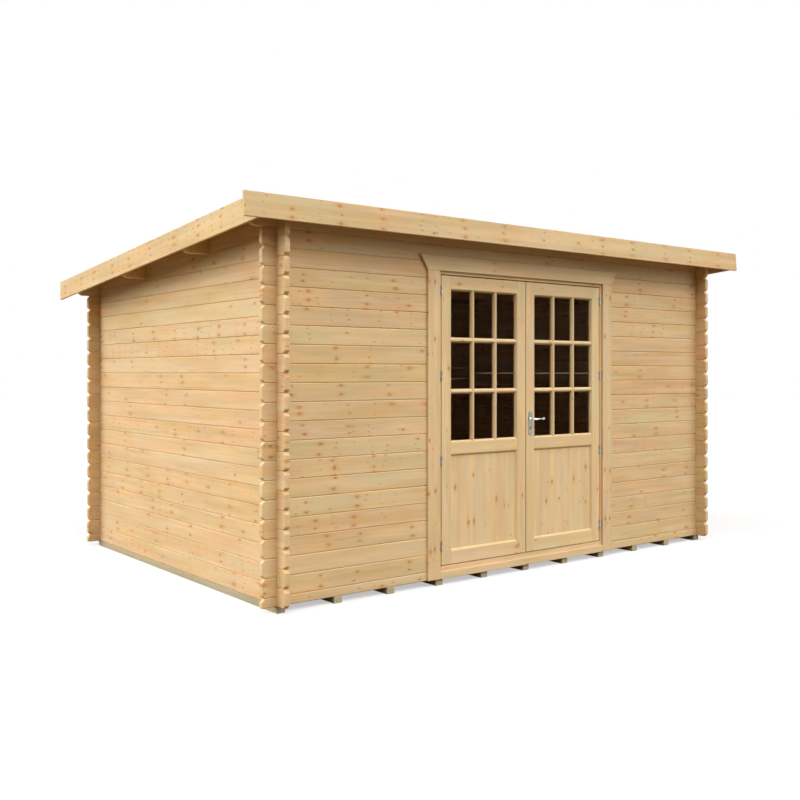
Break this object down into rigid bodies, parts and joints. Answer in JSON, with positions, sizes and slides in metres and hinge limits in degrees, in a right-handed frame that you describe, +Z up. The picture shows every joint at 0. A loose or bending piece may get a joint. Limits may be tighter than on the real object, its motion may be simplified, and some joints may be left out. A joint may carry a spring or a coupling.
{
  "type": "log cabin",
  "caption": "Rectangular log cabin with a low pent roof, crossed log corners and a glazed double door in its long front.",
  "frame": {"origin": "centre of the overall size, on the level ground under the bearers", "axes": "+X to the right along the front wall, +Y back into the cabin, +Z up; the door faces -Y"},
  "size_m": [4.718, 3.3032, 2.4279],
  "materials": {
    "bearer_wood": "rough sawn, pressure treated",
    "floor_boards": "planed, bare",
    "log_wood": "planed spruce, bare",
    "roof_boards": "planed, bare",
    "fascia_wood": "planed, bare",
    "frame_wood": "planed, bare",
    "trim_wood": "planed, bare",
    "door_wood": "planed, bare",
    "panel_wood": "planed, bare",
    "door_glass": "clear",
    "hinge_steel": "zinc plated",
    "handle_steel": "satin"
  },
  "bodies": {
    "cabin": {"floor_bearers": "bearer_wood", "floor_deck": "floor_boards", "front_wall_left": "log_wood", "front_wall_right": "log_wood", "front_wall_top": "log_wood", "front_top_log": "log_wood", "back_wall": "log_wood", "back_top_log": "log_wood", "left_wall": "log_wood", "right_wall": "log_wood", "left_rake": "log_wood", "right_rake": "log_wood", "front_purlin": "log_wood", "back_purlin": "log_wood", "roof_deck": "roof_boards", "front_fascia": "fascia_wood", "back_fascia": "fascia_wood", "left_bargeboard": "fascia_wood", "right_bargeboard": "fascia_wood", "left_jamb": "frame_wood", "right_jamb": "frame_wood", "frame_head": "frame_wood", "threshold": "frame_wood", "left_trim": "trim_wood", "right_trim": "trim_wood", "head_trim": "trim_wood", "sill_trim": "trim_wood", "left_frame_hinges": "hinge_steel", "right_frame_hinges": "hinge_steel"},
    "left_door": {"left_door_stiles": "door_wood", "left_door_rails": "door_wood", "left_door_panel": "panel_wood", "left_door_glass": "door_glass", "left_door_hinges": "hinge_steel"},
    "right_door": {"right_door_stiles": "door_wood", "right_door_rails": "door_wood", "right_door_panel": "panel_wood", "right_door_glass": "door_glass", "right_door_hinges": "hinge_steel", "handle_plates": "handle_steel"},
    "handle": {"outer_lever": "handle_steel", "inner_lever": "handle_steel", "spindle": "handle_steel"}
  },
  "joints": [
    {"name": "left_door_hinge", "type": "hinge", "parent": "cabin", "child": "left_door", "pos_m": [-0.793, -1.48542, 1.097], "axis": [0, 0, -1], "range_deg": [0, 110]},
    {"name": "right_door_hinge", "type": "hinge", "parent": "cabin", "child": "right_door", "pos_m": [0.793, -1.48542, 1.097], "axis": [0, 0, 1], "range_deg": [0, 110]},
    {"name": "lever_turn", "type": "hinge", "parent": "right_door", "child": "handle", "pos_m": [0.044, -1.47942, 1.082], "axis": [0, 1, 0], "range_deg": [0, 45], "stiffness_Nm_per_rad": 0.8, "springref_deg": -20.05}
  ]
}
